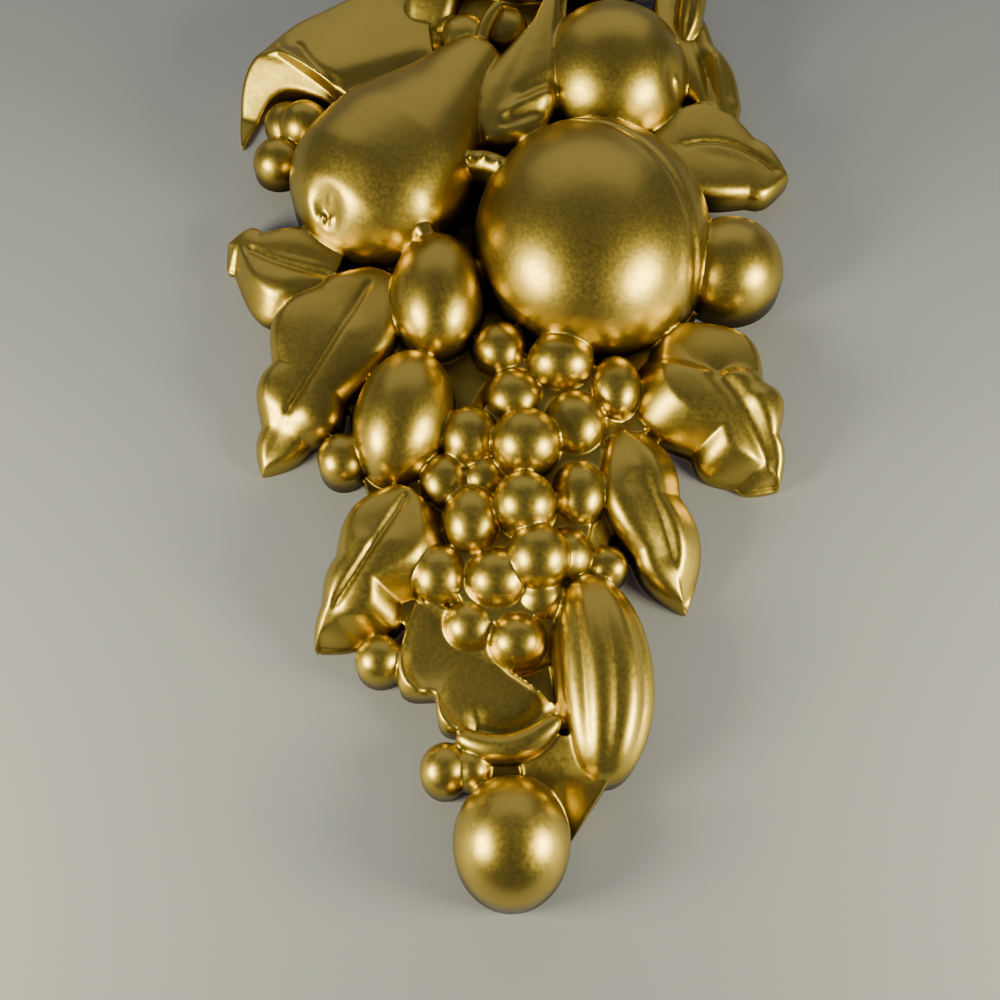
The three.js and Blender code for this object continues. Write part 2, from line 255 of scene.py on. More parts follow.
def along_line(x, z, start, end, bow):
    """How far past the ends of a bowed line each point is, and how far to its right."""
    run = np.subtract(end, start)
    length = np.hypot(*run)
    along = ((x - start[0]) * run[0] + (z - start[1]) * run[1]) / length ** 2
    right = ((x - start[0]) * run[1] - (z - start[1]) * run[0]) / length
    inside = np.clip(along, 0, 1)
    beyond = np.abs(along - inside) * length
    return beyond, right - 4 * bow * inside * (1 - inside)


def ridge(start, end, width, height, bow=0.0):
    """A soft ridge along a line, or a groove where its height is negative."""

    def lift(x, z):
        beyond, right = along_line(x, z, start, end, bow)
        return height * np.exp(-(right / width) ** 2 - (beyond / max(width, 1.5)) ** 2)

    return lift


def facet(place, height, fall, top):
    """A facet that slopes along x and z from its height at a place, cut off at the top."""

    def lift(x, z):
        plane = height + fall[0] * (x - place[0]) + fall[1] * (z - place[1])
        return -soft_max(-plane, np.full_like(plane, -top), 1.2)

    return lift


def drop(start, end, height, width, bow=0.0):
    """Lowers the surface on the right of a line, over a soft shoulder."""

    def lift(x, z):
        right = along_line(x, z, start, end, bow)[1]
        return -height / (1 + np.exp(-np.clip(right / width, -40, 40)))

    return lift


def leaf(start, end, heights, left, right, bow=0.0, crown=2.0, puff=1.5, groove=0.0, roll=0.0,
         lobe=1.5, vein=0.0, rim=(3, 3), arch=0.0, folds=()):
    """Surface of a leaf: left and right are scalloped sides, each rounded over its rim."""

    def surface(u, s):
        t = u
        at, side = centre_line(start, end, bow, t)
        s = np.sin(np.pi * s / 2)
        half = np.abs(s)
        (wide_left, phase_left), (wide_right, phase_right) = scalloped(left, t), scalloped(right, t)
        ends = np.clip(np.minimum(t, 1 - t) / 0.02, 0, 1)
        width = np.where(s < 0, wide_left, wide_right) * np.sqrt(ends)
        phase = np.where(s < 0, phase_left, phase_right)
        x, z = (at + side * (s * width)[:, None]).T
        swell = np.sqrt(np.clip(np.sin(np.pi * t), 0, 1))
        inset = width * (1 - half)
        slant = (t * math.dist(start, end) - 0.75 * half * width) / 7.5
        height = mix(heights, t) + arch * 4 * t * (1 - t) + roll * s * swell
        height += swell * (crown * (1 - half ** 2) + puff * 4 * half * (1 - half))
        height += lobe * (np.sin(np.pi * phase) - 0.5) * half * swell
        height -= vein * np.clip(np.cos(2 * np.pi * slant), 0, 1) ** 6 * np.sin(np.pi * half) * swell
        height -= groove * np.exp(-((half * width / 0.9) ** 2)) * swell
        for fold in folds:
            height += fold(x, z)
        reach = np.where(s < 0, rim[0], rim[1])
        height -= np.where(reach > BROAD_RIM, bevelled(inset, reach), rounded(inset, reach))
        return x, soft_max(height, np.full_like(height, EDGE), 0.8), z

    return surface


# ------------------------------------------------------------------ shells
def deselect():
    if bpy.context.object and bpy.context.object.mode != "OBJECT":
        bpy.ops.object.mode_set(mode="OBJECT")
    bpy.ops.object.select_all(action="DESELECT")


def make_active(piece):
    deselect()
    piece.select_set(True)
    bpy.context.view_layer.objects.active = piece


def read_vectors(items, name):
    """One row of x, y and z for each vertex or normal."""
    rows = np.empty(len(items) * 3)
    items.foreach_get(name, rows)
    return rows.reshape(-1, 3)


def close_behind(piece):
    """Extrudes an open skin back behind the wall plane and flattens it there."""
    make_active(piece)
    bpy.ops.object.mode_set(mode="EDIT")
    bpy.ops.mesh.select_all(action="SELECT")
    bpy.ops.mesh.extrude_region_move(TRANSFORM_OT_translate={"value": (0, SINK * MM, 0)})
    bpy.ops.transform.resize(value=(1, 0, 1), center_override=(0, SINK * MM, 0))
    bpy.ops.mesh.select_all(action="SELECT")
    bpy.ops.mesh.remove_doubles(threshold=1e-6)
    bpy.ops.object.mode_set(mode="OBJECT")


def shell(name, surface, rows=48, columns=32):
    """A closed shell under the surface, from a grid shaped over it."""
    deselect()
    bpy.ops.mesh.primitive_grid_add(x_subdivisions=rows, y_subdivisions=columns, size=2)
    piece = bpy.context.object
    piece.name = name
    grid = read_vectors(piece.data.vertices, "co")
    x, height, z = surface((grid[:, 0] + 1) / 2, grid[:, 1])
    shaped = np.stack([x, -height, z], axis=1) * MM
    piece.data.vertices.foreach_set("co", shaped.ravel())
    close_behind(piece)
    return piece


def web(name, corners):
    """A thin web that hangs over its corners, each with its own height."""
    deselect()
    bpy.ops.mesh.primitive_circle_add(vertices=len(corners), radius=1, fill_type="TRIFAN")
    piece = bpy.context.object
    piece.name = name
    rim = sorted(piece.data.vertices, key=lambda vertex: vertex.co.length)
    middle, rim = rim[0], sorted(rim[1:], key=lambda vertex: vertex.index)
    for vertex, (x, z, height) in zip([middle, *rim], [np.mean(corners, axis=0), *corners]):
        vertex.co = (x * MM, -height * MM, z * MM)
    close_behind(piece)
    return piece


# ------------------------------------------------------------------ the relief, piece by piece
def peach_surface():
    """Two cheeks: the near one stands proud, so a suture runs down the right side."""
    (near_at, near_radii, near_heights), (far_at, far_radii, far_heights) = PEACH

    def near_cheek(x, z):
        out = 1 - ((x - near_at[0]) / near_radii[0]) ** 2 - ((z - near_at[1]) / near_radii[1]) ** 2
        dome = near_heights[0] + (near_heights[1] - near_heights[0]) * np.sqrt(np.clip(out, 0, 1))
        return np.where(out > 0, dome, 0)

    far = ball(far_at, far_radii, far_heights)

    groove = ridge((18, -67), (55, -125), 1.0, -1.4, bow=-12.5)
    lip = ridge((15.5, -69), (52.5, -127), 2.4, 0.7, bow=-12.5)

    def surface(u, s):
        x, height, z = far(u, s)
        return x, soft_max(near_cheek(x, z), height, 0.8) + groove(x, z) + lip(x, z), z

    return surface


def pear_radius(t):
    stations = [0, 0.04, 0.14, 0.28, 0.44, 0.6, 0.75, 0.88, 0.96, 1]
    radii = [0, 12.5, 23.5, 28, 26.8, 21.6, 15.3, 11.2, 8.2, 0]
    return smooth_through(stations, radii, t)


def smooth_through(stations, values, t):
    """A cubic through the stations that doesn't overshoot."""
    stations, values = np.asarray(stations, float), np.asarray(values, float)
    step, slope = np.diff(stations), np.diff(values) / np.diff(stations)
    tangent = np.zeros_like(values)
    same_way = slope[:-1] * slope[1:] > 0
    mean = 2 * slope[:-1] * slope[1:] / np.where(same_way, slope[:-1] + slope[1:], 1)
    tangent[1:-1] = np.where(same_way, mean, 0)
    tangent[0], tangent[-1] = 2 * slope[0], 2 * slope[-1]
    i = np.clip(np.searchsorted(stations, t, side="right") - 1, 0, len(step) - 1)
    u = (t - stations[i]) / step[i]
    h = step[i]
    return ((1 + 2 * u) * (1 - u) ** 2 * values[i] + u * (1 - u) ** 2 * h * tangent[i]
            + u ** 2 * (3 - 2 * u) * values[i + 1] + u ** 2 * (u - 1) * h * tangent[i + 1])


def pear_calyx(x, z):
    dent = hollow(x, z, (-56, -98), (3.0, 5), 5.0, lean=-35)
    lip = hollow(x, z, (-62.5, -96), (2.2, 6), 1.2, lean=-25)
    crumbs = sum(hollow(x, z, at, (0.9, 1.2), 2.0) for at in [(-57.6, -99), (-55.4, -96.5), (-55, -100)])
    return lip + crumbs - dent


def apple_calyx(x, z):
    return hollow(x, z, (52.8, -48.5), (1.1, 1.6), 2.0) - hollow(x, z, (52, -49.5), (2.8, 4.6), 4.2, lean=10)


# The peach's near and far cheek: place, radii, and the heights of shoulder and top.
PEACH = [((23.5, -102.8), (34.8, 38.8), (12, 44)), ((25.4, -100.5), (36.8, 40.5), (11, 40))]
PLUMS = [((-22.7, -121.8), (14.3, 20.4), (12, 28), 0), ((-32, -161.6), (14.5, 21.2), (10, 26), 13)]
LARGE_BERRY = ((68.1, -109.3), (16.7, 16.9), (6, 23.5))
END_FRUIT = ((-0.4, -285.3), (15.7, 17.7), (8, 25))
APPLE = ((33, -40), (24.6, 25), (11, 35.5))
TOP_FRUIT = ((4, 12), (24, 22), (12, 36))
PEAR = dict(start=(-57.5, -104), end=(-7.5, -31), shoulder=(11, 17), depth=0.85, widest=28,
            radius=pear_radius)
MELON = dict(start=(19.5, -211), end=(23.5, -270), shoulder=(8, 8), depth=1.0, bow=-4, widest=14,
             radius=lambda t: 14 * oval(t) ** 0.9)
MOUND = dict(start=(16, -136), end=(-6, -238), shoulder=(6, 5), depth=0.24, widest=26,
             radius=lambda t: 26 * oval(t) ** 0.7)


class MESH_OT_swag_fruit(bpy.types.Operator):
    """Shape the large fruit: peach, pear, apple, plums, melon, end fruit and top fruit"""

    bl_idname = "mesh.swag_fruit"
    bl_label = "Fruit"

    def execute(self, context):
        shell("swag_raw_peach", peach_surface(), 160, 120)
        shell("swag_raw_pear", turned(**PEAR, relief=pear_calyx), 140, 90)
        shell("swag_raw_apple", ball(*APPLE, relief=apple_calyx), 120, 90)
        for plum in PLUMS:
            shell("swag_raw_plum", ball(*plum), 80, 60)
        for sizes in (LARGE_BERRY, END_FRUIT, TOP_FRUIT):
            shell("swag_raw_fruit", ball(*sizes), 90, 70)
        shell("swag_raw_melon", turned(**MELON, lobes=9, flute=0.08), 120, 160)
        return {"FINISHED"}


# Small berries and buds: place, radii, and the heights of shoulder and top.
BERRIES = [
    ((-50, -173.8), (7.4, 8), (7, 14)),
    ((-37.2, -234.8), (7, 7.2), (6, 13)),
    ((-75.1, -68.2), (8.3, 8), (5, 13)),
    ((-67, -55.8), (8.5, 8.4), (7, 16)),
    ((-72.8, -53.5), (7.8, 7.8), (5, 12)),
    ((27.3, -207), (6.2, 6.2), (6, 12)),
    ((-18.5, -265.7), (6.9, 7.6), (6, 13)),
    ((-11.1, -265.8), (5, 5.8), (7, 12)),
    ((-15.2, -25.4), (7.5, 8), (15, 20)),
    ((-2, -22), (7.5, 8), (15, 20)),
    ((-27.3, -25.5), (6.6, 6.8), (8, 15)),
]

# Grapes: place, radii and top.
GRAPES = [
    ((-3.5, -138.8), (8.2, 8.6), 18),
    ((14.7, -144.3), (10.2, 9.3), 22),
    ((31, -151.8), (7.6, 9.8), 18),
    ((0.5, -155), (9, 9), 18),
    ((-12.5, -168.6), (8.6, 9.5), 20),
    ((18.6, -164.3), (8.9, 10.2), 20),
    ((4, -172.4), (10.1, 10.3), 26),
    ((-19.7, -181.4), (7.2, 8.2), 16),
    ((-8, -180.6), (6.5, 7), 15),
    ((3.5, -191.6), (9, 9.1), 26),
    ((19.5, -186.8), (7.6, 9.7), 20),
    ((-11.6, -195), (8.2, 10.2), 20),
    ((7.3, -207), (9, 9.6), 24),
    ((15.3, -204.5), (8, 8.2), 16),
    ((-21, -210.7), (8.2, 9), 17),
    ((-4.4, -212.6), (9, 8.8), 20),
    ((8, -217), (7.8, 7.4), 15),
    ((-11.9, -225), (7.9, 7.9), 14),
    ((1.4, -229.9), (8.4, 8.2), 16),
]


class MESH_OT_swag_berries(bpy.types.Operator):
    """Shape the small berries and buds"""

    bl_idname = "mesh.swag_berries"
    bl_label = "Berries"

    def execute(self, context):
        for at, radii, heights in BERRIES:
            shell("swag_raw_berry", ball(at, radii, heights))
        return {"FINISHED"}


class MESH_OT_swag_grapes(bpy.types.Operator):
    """Shape the bunch of grapes and the mound it sits in"""

    bl_idname = "mesh.swag_grapes"
    bl_label = "Grapes"

    def execute(self, context):
        for at, radii, top in GRAPES:
            shell("swag_raw_grape", ball(at, radii, (top - radii[0], top)), 56, 40)
        shell("swag_raw_mound", turned(**MOUND))
        return {"FINISHED"}


# Leaves run from their root to their tip. Their heights are at the root and the tip.
LEAVES = [
    # small leaf at the left of the pear
    dict(start=(-53, -111), end=(-90.2, -99.6), heights=(11, 5.5), puff=0.8, arch=1, rim=(7, 3),
         left=(10, (0.87, 7, 13), (1, 0, 3)), right=(8, (0.74, 8, 4), (1, 0, 4)),
         folds=[ridge((-81, -103.5), (-57, -113.5), 1.3, -1.2, bow=1.7),
                ridge((-84, -112), (-70, -117), 4, 0.8)]),
    # left leaf under the pear
    dict(start=(-40, -111.5), end=(-74.5, -177.2), heights=(12, 7.5), puff=0.8, arch=3.5, rim=(4, 4.5),
         left=(10, (0.6, 12, 5), (0.81, 9, 3.5), (1, 0, 2)),
         right=(4, (0.2, 15, 2), (0.58, 14, 6.5), (0.82, 7.8, 3), (1, 0, 2)),
         folds=[ridge((-44, -119), (-66, -160), 1.1, -1.0, bow=-1),
                ridge((-50, -136), (-60, -160), 5, 1.0),
                drop((-77, -157), (-58, -169), 3.6, 1.5)]),
    # left leaf beside the grapes
    dict(start=(-28, -185.7), end=(-56.1, -231.5), heights=(13, 5), puff=0.8, arch=5, rim=(9, 4),
         left=(10, (0.55, 14.5, 8), (0.82, 11, 4.5), (1, 0, 2)),
         right=(6, (0.53, 8.8, 5), (0.78, 4.8, 1.2), (1, 0, 1)),
         folds=[ridge((-31, -189), (-49, -220), 1.0, -1.2, bow=-0.8),
                ridge((-35, -204), (-46, -220), 5, 1.6),
                ridge((-43, -204), (-52, -220), 3.5, 1.2)]),
    # dished leaf with scalloped rims
    dict(start=(13, -250), end=(-28.1, -219), heights=(10, 11), puff=0, crown=-3, lobe=0,
         rim=(3.5, 1),
         left=(10, (0.3, 18.5, 5), (0.585, 17, 5.5), (1, 0, 12)),
         right=(0.5, (0.35, 1, 0.5), (1, 0, 6)),
         folds=[ridge((-31, -234), (-26, -245), 1.8, 1.6, bow=1.5),
                ridge((-21, -246), (-15.5, -255.5), 1.8, 1.6, bow=1.5),
                ridge((-9, -254), (8, -250), 4, -3, bow=4)]),
    # right leaf above the large berry
    dict(start=(45, -66), end=(89.9, -74.3), heights=(12.5, 6.5), puff=0.3, crown=1, arch=1, lobe=1,
         rim=(2.5, 3.6),
         left=(10, (0.71, 12, 9.5), (1, 0, 2.5)), right=(10, (0.73, 11, 4), (1, 0, 4)),
         folds=[ridge((56, -66.5), (84, -72.5), 0.9, -1.2, bow=-4)]),
    # large right leaf, with an upper lobe that laps over the middle one
    dict(start=(46.5, -132.5), end=(79.2, -181.9), heights=(13, 5), puff=1, crown=1, arch=6, rim=(3, 10),
         left=(8, (0.535, 14, 8.5), (0.79, 8, 4), (1, 0, 2)),
         right=(9, (0.615, 15.5, 10), (0.87, 10.5, 3.5), (1, 0, 3)),
         folds=[ridge((61, -150), (75, -175), 3.0, -2.2, bow=-1.5),
                ridge((73, -159), (77, -168), 6, 2.4),
                drop((81, -154), (62, -149), 3.2, 0.7, bow=2.5)]),
    # narrow leaf at the right of the grapes
    dict(start=(33.4, -166.2), end=(49.8, -220.5), heights=(12.5, 4), puff=0.8, crown=1, arch=6.5,
         rim=(7, 4.5),
         left=(6, (0.42, 9.3, 3), (1, 0, 5.5)), right=(6, (0.66, 10, 5.5), (1, 0, 3)),
         folds=[ridge((36, -185), (44, -205), 3.2, -1.3, bow=-1)]),
    # curled leaf at the top left, and the lip that it turns under
    dict(start=(-26, -25), end=(-83, -33), heights=(16, 15.5), puff=0, crown=1, roll=-3.5, lobe=0.5,
         rim=(2, 2.5),
         left=(17, (0.5, 22, 2), (0.88, 2.4, -0.5), (1, 0, 0.3)), right=(18, (0.6, 18, 5), (1, 0, 2.5)),
         folds=[ridge((-76, -30), (-60, -46.5), 2.2, 1.2, bow=1.5),
                ridge((-69, -30), (-56.5, -45.5), 1.5, -1.2, bow=1.5),
                ridge((-57, -50), (-30, -40), 5, -3)]),
    dict(start=(-56.5, -49.5), end=(-88, -60.5), bow=18, heights=(0, 0), puff=0, crown=0, lobe=0,
         rim=(1, 2), left=(0.3, (1, 0.3, 5.8)), right=(0.3, (1, 0.3, 6.4)),
         folds=[facet((-75, -36), 15.5, (0.22, 0.8), 16)]),
    # leaf over the pear and the apple
    dict(start=(13.7, -14), end=(-8.5, -71.8), heights=(26, 21), crown=2.5, puff=0.5, lobe=0,
         roll=-1.5, rim=(4.5, 3),
         left=(3, (0.28, 9.2, 0.5), (0.66, 15.9, 0.6), (0.85, 15, 0.5), (0.92, 8, 1.5), (1, 0, 1)),
         right=(1.5, (0.25, 2, 0), (0.6, 9.8, 0.5), (1, 0, 5.5)),
         folds=[ridge((16, -49), (4, -56), 2.6, -1.3),
                ridge((15, -55), (0, -62.5), 2.4, 1.4, bow=0.8),
                ridge((12, -61), (-2, -66), 1.8, -1.0)]),
    # thin leaf behind the apple
    dict(start=(54, -4), end=(70, -58), heights=(11, 9), crown=1.5, arch=1.5, rim=(2.5, 2),
         left=(4, (0.45, 7, 1.2), (0.82, 8.5, 1.5), (1, 3, 1)), right=(6, (1, 0, 9)),
         folds=[ridge((63.5, -33), (65, -52), 1.6, -1.3), ridge((67, -33), (68.5, -52), 1.8, 1.0)]),
    # turned-down bud leaves at the top
    dict(start=(-21, 9), end=(-29, -24), heights=(26, 13), crown=1, puff=0, arch=4, lobe=0, rim=(4, 4),
         left=(7, (0.6, 8.5, 2), (1, 5, 1.5)), right=(6, (0.6, 8, 2), (1, 5, 1.5))),
    dict(start=(62, -2), end=(57, -28.5), heights=(19, 12), crown=2.5, arch=3, lobe=0, rim=(2, 2),
         left=(3, (0.6, 4.5, 1), (1, 0.3, 1.5)), right=(3, (0.6, 4.5, 1), (1, 0.3, 1.5))),
    # leaves round the top fruit
    dict(start=(-14, 8), end=(-56, 30), heights=(12, 9), groove=1.4, vein=0.4,
         left=(10, (0.4, 12, 6), (0.75, 8, 4), (1, 0, 3)),
         right=(6, (0.45, 10, 5), (0.8, 6, 3), (1, 0, 2))),
    dict(start=(22, 6), end=(62, 24), heights=(12, 9), groove=1.4, vein=0.4,
         left=(6, (0.45, 10, 5), (0.8, 6, 3), (1, 0, 2)),
         right=(10, (0.4, 12, 6), (0.75, 8, 4), (1, 0, 3))),
    dict(start=(3, 22), end=(8, 56), heights=(12, 8), groove=1.4, vein=0.4,
         left=(8, (0.5, 9, 5), (0.8, 5, 2), (1, 0, 1)),
         right=(8, (0.45, 10, 4), (0.78, 6, 2), (1, 0, 1))),
]


class MESH_OT_swag_leaves(bpy.types.Operator):
    """Shape the leaves"""

    bl_idname = "mesh.swag_leaves"
    bl_label = "Leaves"

    def execute(self, context):
        for sizes in LEAVES:
            shell("swag_raw_leaf", leaf(**sizes), 140, 80)
        return {"FINISHED"}


# Stalks, rolled lips and swellings: ends, bow, heights at the ends, and half-width.
STALKS = [
    ((-19, -80.5), (1, -87), -3.5, (21, 24), 3.6),  # peach stalk
    ((-31, -97), (-25, -106), 0, (20, 19), 3.2),  # plum stalk
    ((-10, -36), (-3, -18), -2, (18, 22), 2.4),  # twig over the berries
    ((-15, -256.5), (12.5, -252.5), 6, (9, 12.5), 3.9),  # rolled lip of the dished leaf
    ((14, -224), (23, -264), -1, (7, 3), 7),  # swelling along the melon's left side
]

# The scarred end of the peach stalk.
STALK_BEADS = [
    ((-16.5, -81.5), (1.5, 1.4), (24, 26.2)),
    ((-12.2, -80.6), (1.5, 1.4), (24.5, 26.8)),
    ((-8, -81), (1.5, 1.4), (25, 27.2)),
    ((-4, -82.8), (1.4, 1.3), (25.5, 27.4)),
]

# Webs that show: their corners as (x, z, height).
WEBS = [
    [(2, -262, 9), (9, -257, 12), (18, -258, 14), (26, -268, 12.5), (24.5, -271.5, 10.5),
     (15.5, -284.5, 0.5), (4, -277, 5)],
]


def flat(height, *corners):
    return [(x, z, height) for x, z in corners]


# Beds that join the pieces low down.
BEDS = [
    flat(4, (-60, -108), (-20, -20), (-30, 5), (0, 25), (30, 5), (55, -20), (60, -110), (52, -150),
         (38, -180), (22, -215), (15, -265), (0, -280), (-12, -265), (-20, -235), (-38, -200),
         (-48, -165), (-52, -130)),
    flat(7, (-45, -112), (-24, -104), (-14, -112), (-6, -124), (42, -126), (44, -150), (32, -190),
         (18, -225), (-20, -225), (-30, -190), (-42, -160)),
    flat(12, (-3, -141), (14, -146), (29, -152), (27, -166), (25, -187), (21, -204), (9, -221),
         (1, -228), (-12, -223), (-20, -210), (-16, -196), (-19, -182), (-13, -168), (-6, -155)),
    flat(6, (-36, -212), (-24, -206), (-22, -226), (-30, -226)),
    flat(6, (-14, -262), (12, -256), (22, -262), (8, -274), (-12, -270)),
    flat(12, (-30, -40), (-34, -10), (-12, 6), (20, 4), (18, -24), (4, -34), (-8, -40)),
]


class MESH_OT_swag_stalks(bpy.types.Operator):
    """Shape the stalks and the webs between the pieces"""

    bl_idname = "mesh.swag_stalks"
    bl_label = "Stalks and Webs"

    def execute(self, context):
        for start, end, bow, heights, reach in STALKS:
            shell("swag_raw_stalk",
                  turned(start, end, heights, 1, lambda t: reach * oval(t) ** 0.5, bow=bow))
        for at, radii, heights in STALK_BEADS:
            shell("swag_raw_bead", ball(at, radii, heights))
        for corners in WEBS + BEDS:
            web("swag_raw_web", corners)
        return {"FINISHED"}


# ------------------------------------------------------------------ one moulding
def raw_shells():
    return [piece for piece in bpy.context.scene.objects if piece.name.startswith("swag_raw")]


def apply(piece, kind, name, **settings):
    modifier = piece.modifiers.new(name, kind)
    for key, value in settings.items():
        setattr(modifier, key, value)
    make_active(piece)
    bpy.ops.object.modifier_apply(modifier=modifier.name)


def combine(piece, other, operation):
    """Joins, cuts or crosses a piece with another one, which is used up."""
    apply(piece, "BOOLEAN", operation.lower(), object=other, operation=operation,
          solver="MANIFOLD", material_mode="TRANSFER")
    bpy.data.objects.remove(other)


def block(name, low, high):
    """A box between two corners, in millimetres."""
    deselect()
    middle = [(a + b) / 2 * MM for a, b in zip(low, high)]
    bpy.ops.mesh.primitive_cube_add(size=1, location=middle)
    piece = bpy.context.object
    piece.name = name
    piece.scale = [(b - a) * MM for a, b in zip(low, high)]
    bpy.ops.object.transform_apply(location=True, rotation=False, scale=True)
    return piece


def hollow_of(start, end, shoulder, depth, radius, widest, skin, bow=0):
    """The pocket behind a fruit: the same body with the moulding's wall taken off."""
    pull = Vector((end[0] - start[0], end[1] - start[1])).normalized() * skin
    drop = skin * (1 - depth)
    return turned((start[0] + pull.x, start[1] + pull.y), (end[0] - pull.x, end[1] - pull.y),
                  [height - drop for height in shoulder], depth,
                  lambda t: radius(t) * (widest - skin) / widest, bow=bow)


def pocket_cells(sizes):
    """Blocks that fill the spaces between the ribs."""
    pitch, half_rib = sizes.rib_pitch / MM, sizes.rib / MM / 2
    low, high = (corner / MM for corner in CAD_BOX)
    stations = np.arange(-REACH, REACH, pitch)
    cells = []
    for x in stations[(stations + pitch > low.x) & (stations < high.x)]:
        for z in stations[(stations + pitch > low.z) & (stations < high.z)]:
            cells.append(block("swag_cell", (x + half_rib, -REACH, z + half_rib),
                               (x + pitch - half_rib, REACH, z + pitch - half_rib)))
    deselect()
    for cell in cells:
        cell.select_set(True)
    bpy.context.view_layer.objects.active = cells[0]
    bpy.ops.object.join()
    return bpy.context.object


def nail_slot():
    """The blind slot under the hanging point, arched at its top."""
    slot = block("swag_slot", (-NAIL["width"] / 2, -NAIL["depth"], -NAIL["below"] - NAIL["rise"]),
                 (NAIL["width"] / 2, SINK, -NAIL["below"] - NAIL["width"] / 2))
    bpy.ops.mesh.primitive_cylinder_add(
        vertices=32, radius=NAIL["width"] / 2 * MM, depth=(NAIL["depth"] + SINK) * MM,
        location=(0, (SINK - NAIL["depth"]) / 2 * MM, (-NAIL["below"] - NAIL["width"] / 2) * MM),
        rotation=(math.pi / 2, 0, 0))
    arch = bpy.context.object
    bpy.ops.object.transform_apply(location=True, rotation=True, scale=True)
    combine(slot, arch, "UNION")
    return slot


class MESH_OT_swag_mould(bpy.types.Operator):
    """Fuse the shells into one moulding and soften its creases"""

    bl_idname = "mesh.swag_mould"
    bl_label = "Fuse the Moulding"

    def execute(self, context):
        sizes = context.scene.swag_mould
        shells = raw_shells()
        if not shells:
            raise RuntimeError("shape the fruit, grapes and leaves first")
        deselect()
        for piece in shells:
            piece.select_set(True)
        context.view_layer.objects.active = shells[0]
        bpy.ops.object.join()
        moulding = context.object
        moulding.name = "swag"
        moulding.data.name = "swag"
        coarse = 1.0
        apply(moulding, "REMESH", "fuse", mode="VOXEL", voxel_size=sizes.voxel * coarse, adaptivity=0)
        apply(moulding, "SMOOTH", "soften", factor=0.5, iterations=sizes.soften)
        triangles = 2 * len(moulding.data.polygons)
        if triangles > sizes.faces:
            apply(moulding, "DECIMATE", "thin", ratio=sizes.faces / triangles)
        return {"FINISHED"}


class MESH_OT_swag_core(bpy.types.Operator):
    """Cut the back flat and core it behind the fruit, between ribs and round the hanging pad"""

    bl_idname = "mesh.swag_core"
    bl_label = "Core the Back"

    def execute(self, context):
        sizes = context.scene.swag_mould
        moulding = context.scene.objects.get("swag")
        if moulding is None:
            raise RuntimeError("fuse the moulding first")
        skin = sizes.skin / MM
        fruit = [oval_fruit(*ball_sizes) for ball_sizes in
                 (*PEACH, *PLUMS, LARGE_BERRY, END_FRUIT, APPLE, TOP_FRUIT)]
        pockets = None
        for body in (*fruit, PEAR, MELON, MOUND):
            pocket = shell("swag_pocket", hollow_of(**body, skin=skin), 40, 28)
            if pockets:
                combine(pockets, pocket, "UNION")
            else:
                pockets = pocket
        combine(pockets, pocket_cells(sizes), "INTERSECT")
        pad = block("swag_pad", (-PAD[0] / 2, -REACH, -PAD[1] / 2), (PAD[0] / 2, REACH, PAD[1] / 2))
        combine(pockets, pad, "DIFFERENCE")
        combine(pockets, nail_slot(), "UNION")
        combine(pockets, block("swag_behind", (-REACH, 0, -REACH), (REACH, 50, REACH)), "UNION")
        paint = context.scene.swag_paint
        for piece, material in ((moulding, paint_material(paint)), (pockets, bare_material(paint))):
            piece.data.materials.clear()
            piece.data.materials.append(material)
        combine(moulding, pockets, "DIFFERENCE")
        if len(moulding.data.polygons) < 1000:
            raise RuntimeError("the cut left nothing of the moulding")
        return {"FINISHED"}


# ------------------------------------------------------------------ finish
class NodeBench:
    """Lays out and joins the nodes of one material."""

    def __init__(self, name):
        self.material = bpy.data.materials.new(name)
        self.material.use_nodes = True
        self.tree = self.material.node_tree
        self.shader = self.tree.nodes["Principled BSDF"]
        self.place = self.add("TexCoord").outputs["Object"]

    def add(self, kind, **settings):
        node = self.tree.nodes.new("ShaderNode" + kind)
        for key, value in settings.items():
            setattr(node, key, value)
        return node

    def join(self, source, target):
        self.tree.links.new(source, target)

    def noise(self, scale, detail=2.0, roughness=0.5):
        node = self.add("TexNoise")
        node.inputs["Scale"].default_value = scale
        node.inputs["Detail"].default_value = detail
        node.inputs["Roughness"].default_value = roughness
        self.join(self.place, node.inputs["Vector"])
        return node.outputs["Fac"]

    def ranged(self, value, low, high, to_low, to_high):
        node = self.add("MapRange")
        self.join(value, node.inputs["Value"])
        for name, number in zip(("From Min", "From Max", "To Min", "To Max"), (low, high, to_low, to_high)):
            node.inputs[name].default_value = number
        return node.outputs["Result"]

    def math(self, operation, a, b):
        node = self.add("Math", operation=operation)
        for socket, value in zip(node.inputs, (a, b)):
            if isinstance(value, (int, float)):
                socket.default_value = value
            else:
                self.join(value, socket)
        return node.outputs["Value"]

    def blend(self, factor, first, second):
        node = self.add("Mix", data_type="RGBA")
        self.join(factor, node.inputs["Factor"])
        for socket, colour in ((node.inputs["A"], first), (node.inputs["B"], second)):
            if isinstance(colour, tuple):
                socket.default_value = (*colour, 1)
            else:
                self.join(colour, socket)
        return node.outputs["Result"]

    def bump(self, height, strength, distance, under=None):
        node = self.add("Bump")
        node.inputs["Strength"].default_value = strength
        node.inputs["Distance"].default_value = distance
        self.join(height, node.inputs["Height"])
        if under is not None:
            self.join(under, node.inputs["Normal"])
        return node.outputs["Normal"]


def shade(colour, factor):
    return tuple(min(1.0, part * factor) for part in colour)


